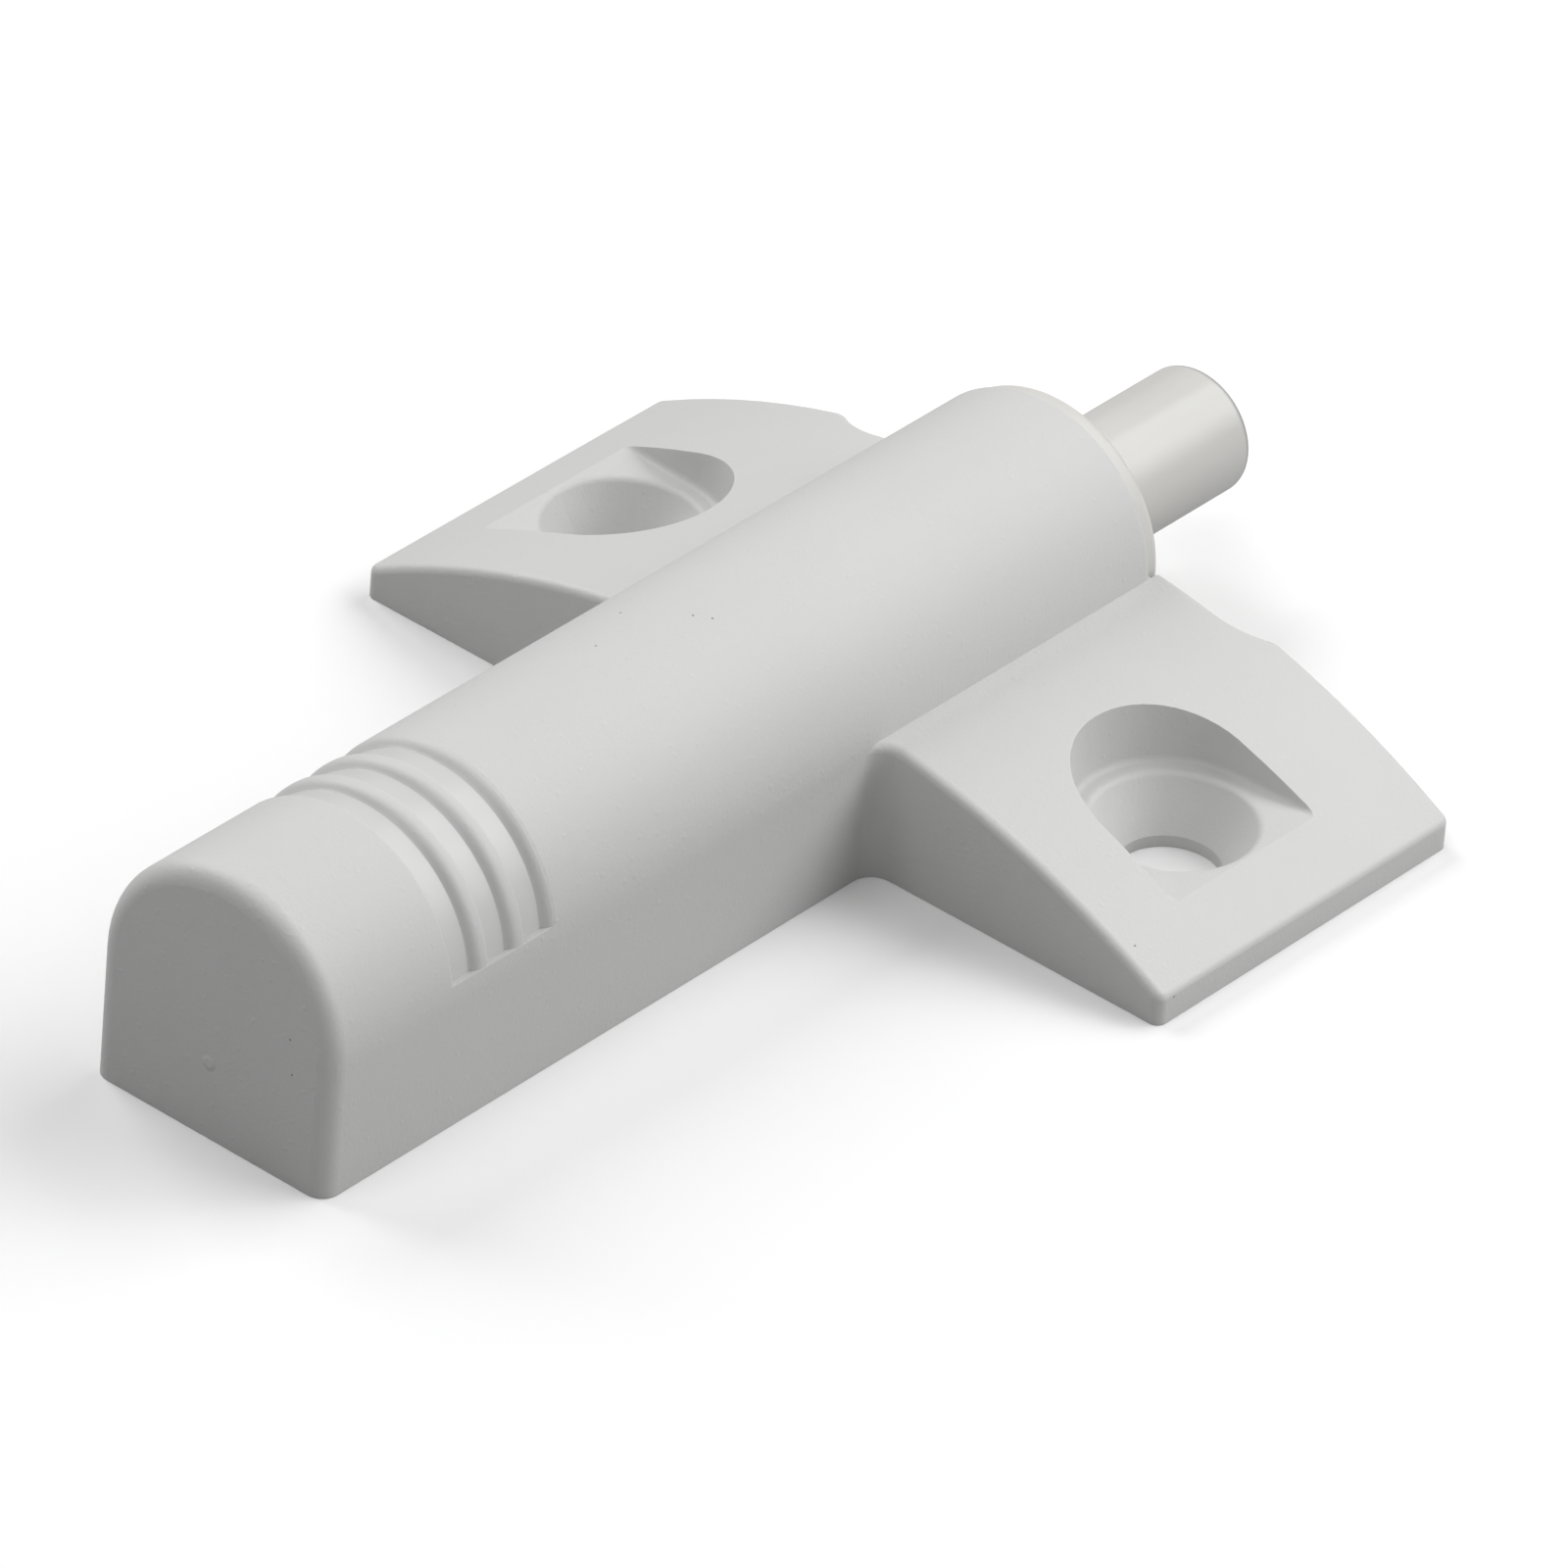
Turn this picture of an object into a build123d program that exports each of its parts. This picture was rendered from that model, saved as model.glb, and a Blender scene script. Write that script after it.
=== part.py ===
from build123d import *
import os
from math import hypot, radians, sqrt, tan

# Cabinet door damper: a cross-shaped holder that screws to the cabinet wall,
# with a slim oil damper in its barrel whose plunger meets the closing door.
# The origin is midway between the two screw holes, on the mounting face.
# X runs along the screw line, Y along the plunger towards its tip,
# and Z away from the cabinet wall. All sizes are in millimetres.

# Holder, barrel
barrel_width = 13.3
axis_height = 6.6
barrel_front = 9.2
barrel_length = 54.2
rear_wall = 2.4
rear_edge_radius = 0.9
front_edge_radius = 0.35

# Holder, arms
screw_spacing = 32.0
arm_span = 46.0
arm_rear = 9.2
arm_front = 10.9
arm_step_depth = 1.0
arm_step_place = 9.7
arm_step_width = 2.7
arm_tip_thickness = 1.45
arm_root_height = 6.95
arm_crown = 0.85
arm_corner_radius = 0.5
arm_step_radius = 1.0
arm_root_radius = 1.1
arm_top_edge_radius = 0.4

# Holder, screw pockets and holes
pocket_floor = 3.0
pocket_radius = 4.65
pocket_flare = 3.5
pocket_draft = 3.0
pocket_foot_radius = 0.3
screw_hole_diameter = 4.7
screw_head_diameter = 7.6
countersink_angle = 62.0
countersink_mouth_radius = 0.4

# Holder, arc grooves over the barrel
groove_count = 3
groove_width = 1.63
groove_pitch = 2.29
groove_depth = 0.36
ridge_edge_radius = 0.3
ridge_edge_rise = 0.01
groove_end_height = 7.55
first_groove = 8.65

# Holder, cores in the underside beside the barrel
core_count = 3
core_width = 2.4
core_length = 4.4
core_pitch = 5.6
core_roof = 1.6
core_side_wall = 1.1
core_corner_radius = 0.6

# Guide sleeve
sleeve_diameter = 10.0
sleeve_wall = 0.8
sleeve_fit = 0.05
flange_diameter = 12.8
flange_thickness = 0.95
flange_edge_radius = 0.5
guide_length = 5.0
guide_mouth_chamfer = 0.3
slot_width = 2.4

# Rear plug
plug_flange_thickness = 1.2
plug_spigot_length = 2.0
plug_boss_diameter = 4.0
plug_boss_length = 2.2
plug_end_gap = 0.2
rod_seat_depth = 4.2

# Plunger cylinder, the part that the door touches
plunger_diameter = 6.2
plunger_reach = 10.45
plunger_length = 30.0
plunger_wall = 0.7
plunger_face_thickness = 1.2
plunger_edge_radius = 0.35
stroke = 10.0
overtravel = 0.4
running_gap = 0.05

# Cylinder cap with its two guide lugs
cap_skirt_length = 3.2
cap_floor_thickness = 1.4
lug_length = 2.0
lug_slot_gap = 0.05

# Oil chamber
rod_diameter = 1.5
rod_neck_diameter = 1.0
piston_length = 2.6
piston_end_gap = 0.8
piston_groove_width = 1.1
piston_groove_depth = 0.75
oil_gap = 0.03
oil_port_diameter = 0.45
oil_port_count = 3
neck_end_length = 0.5
clip_thickness = 0.25
clip_diameter = 2.6
cap_seal_thickness = 0.6
rod_seal_length = 1.8
rod_seal_lip_depth = 0.7
rod_guide_length = 2.6
rod_guide_chamfer = 0.2
foam_length = 5.6
foam_washer_thickness = 0.6
washer_port_radius = 0.35

# Return spring
spring_wire = 0.5
spring_mean_diameter = 6.2
spring_turns = 13
spring_washer_thickness = 0.3

# Places along Y that the pieces share
barrel_rear = barrel_front - barrel_length
bore_end = barrel_rear + rear_wall
flange_front = barrel_front + flange_thickness
guide_rear = flange_front - guide_length
plug_rear = bore_end + plug_end_gap
sleeve_rear = plug_rear + plug_flange_thickness
spigot_front = sleeve_rear + plug_spigot_length
boss_front = spigot_front + plug_boss_length
plunger_tip = flange_front + plunger_reach
plunger_rear = plunger_tip - plunger_length
cap_front = plunger_rear + cap_skirt_length
cap_rear = plunger_rear - cap_floor_thickness
chamber_front = plunger_tip - plunger_face_thickness
piston_front = chamber_front - stroke - piston_end_gap
piston_rear = piston_front - piston_length
rod_seal_rear = plunger_rear + cap_seal_thickness
rod_guide_rear = rod_seal_rear + rod_seal_length
foam_rear = rod_guide_rear + rod_guide_length
foam_front = foam_rear + foam_length
foam_washer_front = foam_front + foam_washer_thickness

# Radii that the pieces share
barrel_radius = barrel_width / 2
sleeve_radius = sleeve_diameter / 2
sleeve_bore = sleeve_radius - sleeve_wall
plunger_radius = plunger_diameter / 2
chamber_radius = plunger_radius - plunger_wall
rod_radius = rod_diameter / 2
rod_hole = rod_radius + running_gap
neck_radius = rod_neck_diameter / 2
piston_radius = chamber_radius - oil_gap
cap_radius = sleeve_bore - running_gap
lug_radius = sleeve_radius - lug_slot_gap
spring_radius = spring_mean_diameter / 2

# The damper axis, and the plane through it in which turned profiles are drawn:
# its first coordinate is the place along Y and its second the radius
damper_axis = Axis((0, 0, axis_height), (0, 1, 0))
turning_plane = Plane(origin=(0, 0, axis_height), x_dir=(0, 1, 0), z_dir=(1, 0, 0))


def cross_plane(y):
    """The plane across the barrel at a place on Y, drawn in X and Z and facing +Y."""
    return Plane(origin=(0, y, 0), x_dir=(-1, 0, 0), z_dir=(0, 1, 0))


def ring(rear, front, inner, outer, mode=Mode.ADD):
    """Turn a plain ring about the damper axis between two places and two radii."""
    with BuildSketch(turning_plane) as section:
        with Locations(((rear + front) / 2, (inner + outer) / 2)):
            Rectangle(front - rear, outer - inner)
    revolve(section.sketch, axis=damper_axis, mode=mode)


def barrel_section(plane):
    """The D section of the barrel: a flat foot, upright sides and a round top."""
    with BuildSketch(plane) as section:
        with BuildLine():
            Line((-barrel_radius, 0), (barrel_radius, 0))
            Line((barrel_radius, 0), (barrel_radius, axis_height))
            ThreePointArc(
                (barrel_radius, axis_height),
                (0, axis_height + barrel_radius),
                (-barrel_radius, axis_height),
            )
            Line((-barrel_radius, axis_height), (-barrel_radius, 0))
        make_face()
    return section.sketch


def distance_from_middle(edge):
    """How far an edge's centre lies to either side of the barrel's middle plane."""
    return abs(edge.center().X)


os.makedirs("parts", exist_ok=True)

# Barrel of the holder: closed at the rear, with softened edges round both ends
with BuildPart() as barrel:
    extrude(barrel_section(cross_plane(barrel_rear)), amount=barrel_length)
    rear_edges = barrel.faces().sort_by(Axis.Y)[0].edges().sort_by(Axis.Z)[1:]
    fillet(rear_edges, radius=rear_edge_radius)
    mouth_edges = barrel.faces().sort_by(Axis.Y)[-1].edges().sort_by(Axis.Z)[1:]
    fillet(mouth_edges, radius=front_edge_radius)

# Screw seat: the pocket, round towards the barrel and open towards the arm's tip,
# and the countersunk hole in its floor, as one shape that is taken out of each arm
arm_tip = arm_span / 2
screw_x = screw_spacing / 2
hole_radius = screw_hole_diameter / 2
head_radius = screw_head_diameter / 2
mouth_radius = head_radius + countersink_mouth_radius
cone_depth = (head_radius - hole_radius) / tan(radians(countersink_angle / 2))
pocket_top = pocket_floor + arm_root_height
with BuildPart() as screw_seat:
    with BuildSketch(Plane.XY.offset(pocket_floor)):
        with BuildLine():
            flare = (arm_tip - screw_x) * tan(radians(pocket_flare))
            Line((screw_x, pocket_radius), (arm_tip, pocket_radius + flare))
            Line((arm_tip, pocket_radius + flare), (arm_tip, -pocket_radius - flare))
            Line((arm_tip, -pocket_radius - flare), (screw_x, -pocket_radius))
            ThreePointArc(
                (screw_x, -pocket_radius),
                (screw_x - pocket_radius, 0),
                (screw_x, pocket_radius),
            )
        make_face()
    extrude(amount=pocket_top - pocket_floor, taper=-pocket_draft)
    fillet(screw_seat.faces().sort_by(Axis.Z)[0].edges(), radius=pocket_foot_radius)
    with BuildSketch(Plane(origin=(screw_x, 0, 0), x_dir=(1, 0, 0), z_dir=(0, -1, 0))) as hole:
        with BuildLine():
            Polyline(
                (0, 0),
                (hole_radius, 0),
                (hole_radius, pocket_floor - cone_depth),
                (head_radius, pocket_floor),
                (mouth_radius, pocket_floor),
                (mouth_radius, pocket_top),
                (0, pocket_top),
                close=True,
            )
        make_face()
        mouth_corner = hole.vertices().sort_by_distance((head_radius, pocket_floor))[0]
        fillet(mouth_corner, radius=countersink_mouth_radius)
    revolve(axis=Axis((screw_x, 0, 0), (0, 0, 1)))

# Groove over the barrel, as the shape that is taken out: a square wall at its rear, a
# floor that follows the barrel, and a front wall whose crest is rounded
groove_rear = barrel_rear + first_groove - groove_width / 2
groove_front = groove_rear + groove_width
floor_radius = barrel_radius - groove_depth
crest_radius = barrel_radius + ridge_edge_rise
clear_radius = crest_radius + groove_depth
with BuildPart() as groove:
    with BuildSketch(turning_plane) as groove_profile:
        with BuildLine():
            Polyline(
                (groove_front, crest_radius - ridge_edge_radius),
                (groove_front, floor_radius),
                (groove_rear, floor_radius),
                (groove_rear, clear_radius),
                (groove_front + ridge_edge_radius, clear_radius),
                (groove_front + ridge_edge_radius, crest_radius),
            )
            RadiusArc(
                (groove_front + ridge_edge_radius, crest_radius),
                (groove_front, crest_radius - ridge_edge_radius),
                -ridge_edge_radius,
            )
        make_face()
    revolve(groove_profile.sketch, axis=damper_axis)
    split(bisect_by=Plane.XY.offset(groove_end_height), keep=Keep.TOP)

# Holder: barrel, arms, screw pockets and grooves moulded in one piece
arm_front_at_root = arm_front - arm_step_depth
arm_step_end = arm_step_place + arm_step_width
root_rear = -arm_rear - arm_root_radius

# The arm's crown is an arc over the chord from its tip to its root at the barrel,
# carried on to the barrel's middle plane so that the arm grows out of the barrel
crown_run = arm_tip - barrel_radius
crown_rise = arm_root_height - arm_tip_thickness
crown_chord = hypot(crown_run, crown_rise)
crown_radius = crown_chord**2 / 8 / arm_crown + arm_crown / 2
crown_drop = (crown_radius - arm_crown) / crown_chord
crown_x = (arm_tip + barrel_radius) / 2 - crown_rise * crown_drop
crown_z = (arm_tip_thickness + arm_root_height) / 2 - crown_run * crown_drop
crown_middle = crown_z + sqrt(crown_radius**2 - crown_x**2)
with BuildPart() as holder:
    # The arms are a crowned section carried along Y, cut to their plan outline
    with BuildSketch(cross_plane(root_rear)):
        with BuildLine():
            Line((0, 0), (arm_tip, 0))
            Line((arm_tip, 0), (arm_tip, arm_tip_thickness))
            ThreePointArc(
                (arm_tip, arm_tip_thickness),
                (barrel_radius, arm_root_height),
                (0, crown_middle),
            )
            Line((0, crown_middle), (0, 0))
        make_face()
        mirror(about=Plane.YZ)
    extrude(amount=arm_front - root_rear)
    with BuildSketch(Plane.XY):
        with BuildLine():
            Line((0, root_rear), (barrel_radius, root_rear))
            TangentArc(
                (barrel_radius, root_rear),
                (barrel_radius + arm_root_radius, -arm_rear),
                tangent=(0, 1),
            )
            Line((barrel_radius + arm_root_radius, -arm_rear), (arm_tip, -arm_rear))
            Line((arm_tip, -arm_rear), (arm_tip, arm_front))
            Line((arm_tip, arm_front), (arm_step_end, arm_front))
            TangentArc(
                (arm_step_place, arm_front_at_root),
                (arm_step_end, arm_front),
                tangent=(1, 0),
            )
            Line((arm_step_place, arm_front_at_root), (barrel_radius, arm_front_at_root))
            Line((barrel_radius, arm_front_at_root), (barrel_radius, barrel_front))
            Line((barrel_radius, barrel_front), (0, barrel_front))
            Line((0, barrel_front), (0, root_rear))
        make_face()
        mirror(about=Plane.YZ)
    extrude(amount=crown_middle + arm_crown, mode=Mode.INTERSECT)
    step_corners = holder.edges().filter_by(Axis.Z).group_by(distance_from_middle)[-2]
    fillet(step_corners, radius=arm_step_radius)
    tip_corners = holder.edges().filter_by(Axis.Z).group_by(distance_from_middle)[-1]
    fillet(tip_corners, radius=arm_corner_radius)
    rim = [
        edge
        for face in holder.faces().filter_by(GeomType.CYLINDER).sort_by(SortBy.AREA)[-2:]
        for edge in face.edges()
        if distance_from_middle(edge) > barrel_radius + arm_root_radius / 5
    ]
    fillet(rim, radius=arm_top_edge_radius)
    # The barrel runs through the arms, over their crown
    add(barrel.part)
    # Bore for the guide sleeve
    ring(bore_end, flange_front, 0, sleeve_radius + sleeve_fit, Mode.SUBTRACT)
    # Screw seats, one in each arm
    add(screw_seat.part, mode=Mode.SUBTRACT)
    mirror(screw_seat.part, about=Plane.YZ, mode=Mode.SUBTRACT)
    # Arc grooves with squared ends part way down the barrel's sides
    for index in range(groove_count):
        add(Pos(0, index * groove_pitch, 0) * groove.part, mode=Mode.SUBTRACT)

    # Cores that keep the arms' roots even in thickness, open to the mounting face
    core_x = barrel_radius + core_side_wall + core_width / 2
    for side in (-1, 1):
        with BuildSketch(Plane.XY) as cores:
            with Locations((side * core_x, (arm_front_at_root - arm_rear) / 2)):
                with GridLocations(core_width, core_pitch, 1, core_count):
                    RectangleRounded(core_width, core_length, core_corner_radius)
        extrude(cores.sketch, amount=arm_root_height - core_roof, mode=Mode.SUBTRACT)
holder.part.label = "holder"
export_step(holder.part, "parts/holder.step")

# Guide sleeve: a flanged tube that guides the plunger at its mouth
slot_front = cap_front
slot_rear = cap_front - lug_length - stroke - overtravel
with BuildPart() as guide_sleeve:
    ring(sleeve_rear, barrel_front, sleeve_bore, sleeve_radius)
    ring(guide_rear, barrel_front, plunger_radius + running_gap, sleeve_radius)
    ring(barrel_front, flange_front, plunger_radius + running_gap, flange_diameter / 2)
    front_edges = guide_sleeve.faces().sort_by(Axis.Y)[-1].edges().sort_by(SortBy.RADIUS)
    fillet(front_edges[-1], radius=flange_edge_radius)
    mouth = guide_sleeve.faces().sort_by(Axis.Y)[-1].edges().sort_by(SortBy.RADIUS)[0]
    chamfer(mouth, length=guide_mouth_chamfer)
    # Two slots hold the plunger's lugs, so that it neither turns nor falls out
    with BuildSketch(Plane.XY.offset(axis_height)) as slots:
        with Locations((0, (slot_front + slot_rear) / 2)):
            Rectangle(4 * sleeve_radius, slot_front - slot_rear)
    extrude(slots.sketch, amount=slot_width / 2, both=True, mode=Mode.SUBTRACT)
guide_sleeve.part.label = "guide_sleeve"
export_step(guide_sleeve.part, "parts/guide_sleeve.step")

# Rear plug: closes the sleeve, centres the spring and holds the rod's end
with BuildPart() as rear_plug:
    ring(plug_rear, sleeve_rear, 0, sleeve_radius)
    ring(plug_rear, spigot_front, 0, sleeve_bore)
    ring(plug_rear, boss_front, 0, plug_boss_diameter / 2)
    ring(boss_front - rod_seat_depth, boss_front, 0, rod_radius, Mode.SUBTRACT)
rear_plug.part.label = "rear_plug"
export_step(rear_plug.part, "parts/rear_plug.step")

# Piston rod: plain steel with a turned-down neck for the piston and its clip
rod_rear = boss_front - rod_seat_depth
with BuildPart() as piston_rod:
    ring(rod_rear, piston_rear, 0, rod_radius)
    ring(rod_rear, piston_front + neck_end_length, 0, neck_radius)
piston_rod.part.label = "piston_rod"
export_step(piston_rod.part, "parts/piston_rod.step")

# Piston: a grooved disc with small ports that let the oil through
with BuildPart() as piston:
    ring(piston_rear, piston_front, neck_radius, piston_radius)
    piston_middle = (piston_rear + piston_front) / 2
    groove_rear = piston_middle - piston_groove_width / 2
    groove_front = piston_middle + piston_groove_width / 2
    groove_radius = piston_radius - piston_groove_depth
    ring(groove_rear, groove_front, groove_radius, chamber_radius, Mode.SUBTRACT)
    port_circle = (neck_radius + groove_radius) / 2
    with BuildSketch(cross_plane(piston_rear)) as ports:
        with Locations((0, axis_height)):
            with PolarLocations(port_circle, oil_port_count):
                Circle(oil_port_diameter / 2)
    extrude(ports.sketch, amount=piston_length, mode=Mode.SUBTRACT)
piston.part.label = "piston"
export_step(piston.part, "parts/piston.step")

# Piston seal: a rubber ring in the piston's groove, hollowed on its front side
with BuildPart() as piston_seal:
    ring(groove_rear, groove_front, groove_radius, piston_radius)
    hollow = (piston_radius - groove_radius) / 3
    ring(
        piston_middle,
        groove_front,
        groove_radius + hollow,
        piston_radius - hollow,
        Mode.SUBTRACT,
    )
piston_seal.part.label = "piston_seal"
export_step(piston_seal.part, "parts/piston_seal.step")

# Piston clip: a spring steel washer pushed onto the rod's neck
with BuildPart() as piston_clip:
    ring(piston_front, piston_front + clip_thickness, neck_radius, clip_diameter / 2)
piston_clip.part.label = "piston_clip"
export_step(piston_clip.part, "parts/piston_clip.step")

# Plunger: the glossy moving cylinder, closed at the end that meets the door
with BuildPart() as plunger:
    ring(plunger_rear, plunger_tip, 0, plunger_radius)
    ring(plunger_rear, chamber_front, 0, chamber_radius, Mode.SUBTRACT)
    tip_edge = plunger.faces().sort_by(Axis.Y)[-1].edges()
    fillet(tip_edge, radius=plunger_edge_radius)
plunger.part.label = "plunger"
export_step(plunger.part, "parts/plunger.step")

# Cylinder cap: closes the plunger's rear end and carries the two guide lugs
with BuildPart() as cylinder_cap:
    ring(cap_rear, plunger_rear, rod_hole, cap_radius)
    ring(plunger_rear, cap_front, plunger_radius, cap_radius)
    with BuildSketch(cross_plane(cap_front - lug_length)) as lugs:
        with Locations((0, axis_height)):
            Circle(lug_radius)
            Rectangle(2 * lug_radius, slot_width - 2 * running_gap, mode=Mode.INTERSECT)
            Circle(plunger_radius, mode=Mode.SUBTRACT)
    extrude(lugs.sketch, amount=lug_length)
cylinder_cap.part.label = "cylinder_cap"
export_step(cylinder_cap.part, "parts/cylinder_cap.step")

# Cap seal: a flat rubber washer between the cap's floor and the rod seal
with BuildPart() as cap_seal:
    ring(plunger_rear, rod_seal_rear, rod_hole, chamber_radius)
cap_seal.part.label = "cap_seal"
export_step(cap_seal.part, "parts/cap_seal.step")

# Rod seal: a rubber ring with a hollow towards the oil, which presses its lip on the rod
with BuildPart() as rod_seal:
    ring(rod_seal_rear, rod_guide_rear, rod_radius + oil_gap, chamber_radius)
    seal_third = (chamber_radius - rod_radius) / 3
    ring(
        rod_guide_rear - rod_seal_lip_depth,
        rod_guide_rear,
        rod_radius + seal_third,
        chamber_radius - seal_third,
        Mode.SUBTRACT,
    )
rod_seal.part.label = "rod_seal"
export_step(rod_seal.part, "parts/rod_seal.step")

# Rod guide: the bush that keeps the rod on the axis
with BuildPart() as rod_guide:
    ring(rod_guide_rear, foam_rear, rod_hole, chamber_radius)
    guide_edges = rod_guide.faces().sort_by(Axis.Y)[-1].edges().sort_by(SortBy.RADIUS)
    chamfer(guide_edges[0], length=rod_guide_chamfer)
rod_guide.part.label = "rod_guide"
export_step(rod_guide.part, "parts/rod_guide.step")

# Compensating foam: closed cells that give way for the rod as it enters the oil
with BuildPart() as compensating_foam:
    ring(foam_rear, foam_front, rod_hole, chamber_radius)
compensating_foam.part.label = "compensating_foam"
export_step(compensating_foam.part, "parts/compensating_foam.step")

# Foam washer: holds the foam back and lets the oil reach it through its ports
with BuildPart() as foam_washer:
    ring(foam_front, foam_washer_front, rod_hole, chamber_radius)
    with BuildSketch(cross_plane(foam_front)) as washer_ports:
        with Locations((0, axis_height)):
            with PolarLocations((rod_hole + chamber_radius) / 2, 2 * oil_port_count):
                Circle(washer_port_radius)
    extrude(washer_ports.sketch, amount=foam_washer_thickness, mode=Mode.SUBTRACT)
foam_washer.part.label = "foam_washer"
export_step(foam_washer.part, "parts/foam_washer.step")

# Spring washer: steel, between the return spring and the plastic cap
washer_rear = cap_rear - spring_washer_thickness
with BuildPart() as spring_washer:
    ring(washer_rear, cap_rear, rod_hole, spring_radius + spring_wire)
spring_washer.part.label = "spring_washer"
export_step(spring_washer.part, "parts/spring_washer.step")

# Return spring: a compression coil round the rod, its two ends ground flat
spring_length = washer_rear - spigot_front
with BuildPart() as return_spring:
    pitch = spring_length / spring_turns
    with BuildLine() as coil:
        Helix(pitch, spring_length, spring_radius, (0, spigot_front, axis_height), (0, 1, 0))
    with BuildSketch(Plane(coil.line @ 0, z_dir=coil.line % 0)) as wire:
        Circle(spring_wire / 2)
    sweep(wire.sketch, path=coil.line, is_frenet=True)
    ring(spigot_front, washer_rear, 0, sleeve_bore, Mode.INTERSECT)
return_spring.part.label = "return_spring"
export_step(return_spring.part, "parts/return_spring.step")
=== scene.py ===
# %% [markdown]
# A cabinet door damper, dressed for its portrait
#
# The real thing is a small cross of light grey plastic that is screwed inside a
# cabinet. A sprung oil damper sits in its barrel, and a glossy plunger stands out
# of the barrel's mouth to catch the closing door. Its hard shapes come ready made
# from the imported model. This lesson gives every piece its finish, makes the
# return spring as a surface of its own, and lights the whole on a pale floor.

import math

import bmesh
import bpy
import numpy as np
from mathutils import Matrix, Vector


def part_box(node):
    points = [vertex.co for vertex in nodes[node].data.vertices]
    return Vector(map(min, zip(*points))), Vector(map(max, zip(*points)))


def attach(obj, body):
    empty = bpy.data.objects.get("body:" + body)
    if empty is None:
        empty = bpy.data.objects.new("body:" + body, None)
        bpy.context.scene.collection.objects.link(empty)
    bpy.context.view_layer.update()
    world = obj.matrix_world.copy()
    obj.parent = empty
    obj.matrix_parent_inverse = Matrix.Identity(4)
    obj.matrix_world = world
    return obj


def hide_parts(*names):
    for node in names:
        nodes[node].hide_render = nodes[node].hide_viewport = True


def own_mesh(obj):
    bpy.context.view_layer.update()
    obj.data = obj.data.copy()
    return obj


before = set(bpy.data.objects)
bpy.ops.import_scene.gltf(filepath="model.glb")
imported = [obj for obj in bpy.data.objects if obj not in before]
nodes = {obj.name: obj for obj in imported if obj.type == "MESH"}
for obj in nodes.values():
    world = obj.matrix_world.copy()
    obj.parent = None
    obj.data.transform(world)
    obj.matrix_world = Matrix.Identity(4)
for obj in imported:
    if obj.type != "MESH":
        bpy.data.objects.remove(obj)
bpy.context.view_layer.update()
MM = 0.001
print("pieces in the packed model:", ", ".join(sorted(nodes)))

# %% [markdown]
# The camera
#
# A portrait has to be taken from where the photographer stood. The direction, the
# small roll and the distance were worked out from the photograph's straight edges
# and round holes. A long lens from 73 cm keeps the far arm nearly as large as the
# near one. The aim point is the spot that falls in the middle of the picture, so
# the lens needs no shift.

# %% Place the camera
VIEW_AZIMUTH = math.radians(37.805)
VIEW_ELEVATION = math.radians(34.257)
VIEW_ROLL = math.radians(5.0)
VIEW_DISTANCE = 730 * MM
AIM_RIGHT = -4.705 * MM
AIM_UP = -2.535 * MM
SENSOR_WIDTH = 36.0
FRAME_WIDTH_AT_ORIGIN = 69.354 * MM


def view_axes(azimuth, elevation, roll):
    """The picture's right, up and backward directions, turned by the roll."""
    back = Vector(
        (
            math.sin(azimuth) * math.cos(elevation),
            -math.cos(azimuth) * math.cos(elevation),
            math.sin(elevation),
        )
    )
    level_right = Vector((math.cos(azimuth), math.sin(azimuth), 0))
    level_up = back.cross(level_right)
    right = level_right * math.cos(roll) + level_up * math.sin(roll)
    up = level_up * math.cos(roll) - level_right * math.sin(roll)
    return right, up, back


right, up, back = view_axes(VIEW_AZIMUTH, VIEW_ELEVATION, VIEW_ROLL)
camera = bpy.data.objects.new("camera", bpy.data.cameras.new("camera"))
bpy.context.scene.collection.objects.link(camera)
camera.data.sensor_width = SENSOR_WIDTH
camera.data.lens = SENSOR_WIDTH * VIEW_DISTANCE / FRAME_WIDTH_AT_ORIGIN
camera.data.clip_start = 0.01
camera.data.clip_end = 20
turn = Matrix((right, up, back)).transposed().to_4x4()
aim = right * AIM_RIGHT + up * AIM_UP
camera.matrix_world = Matrix.Translation(aim + back * VIEW_DISTANCE) @ turn
bpy.context.scene.camera = camera
print("lens", round(camera.data.lens, 1), "mm")

# %% [markdown]
# The floor
#
# The part lies on its mounting face, on a plain pale sheet. The sheet could be one
# flat square, but then its far edge would show as a line, so it is a wide square
# that the picture never reaches the end of. It stays a little under pure white, so
# that the light decides how bright it looks.

# %% Lay the floor
FLOOR_HALF_WIDTH = 1.5
FLOOR_DROP = 0.02 * MM
FLOOR_COLOUR = (0.97, 0.97, 0.97, 1)
FLOOR_BOUNCE = (0.42, 0.42, 0.42, 1)


def floor_sheet(half_width, height):
    """A square sheet: every mix of plus and minus the half width in x and y."""
    corners = np.array([(-1, -1), (1, -1), (1, 1), (-1, 1)]) * half_width
    points = np.column_stack([corners, np.full(4, height)])
    mesh = bpy.data.meshes.new("floor")
    mesh.from_pydata(points.tolist(), [], [(0, 1, 2, 3)])
    return mesh


floor = bpy.data.objects.new("floor", floor_sheet(FLOOR_HALF_WIDTH, -FLOOR_DROP))
bpy.context.scene.collection.objects.link(floor)
paper = bpy.data.materials.new("paper")
paper.use_nodes = True
paper_tree = paper.node_tree
paper_skin = paper_tree.nodes["Principled BSDF"]
paper_skin.inputs["Roughness"].default_value = 0.9
paper_skin.inputs["Specular IOR Level"].default_value = 0.1
floor.data.materials.append(paper)

# %% [markdown]
# The sheet throws light back up under the part. A real studio keeps that down with
# a dark table under thin paper. Here the sheet is pale where it is looked at and
# duller where light bounces off it, which the light path tells apart.

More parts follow.
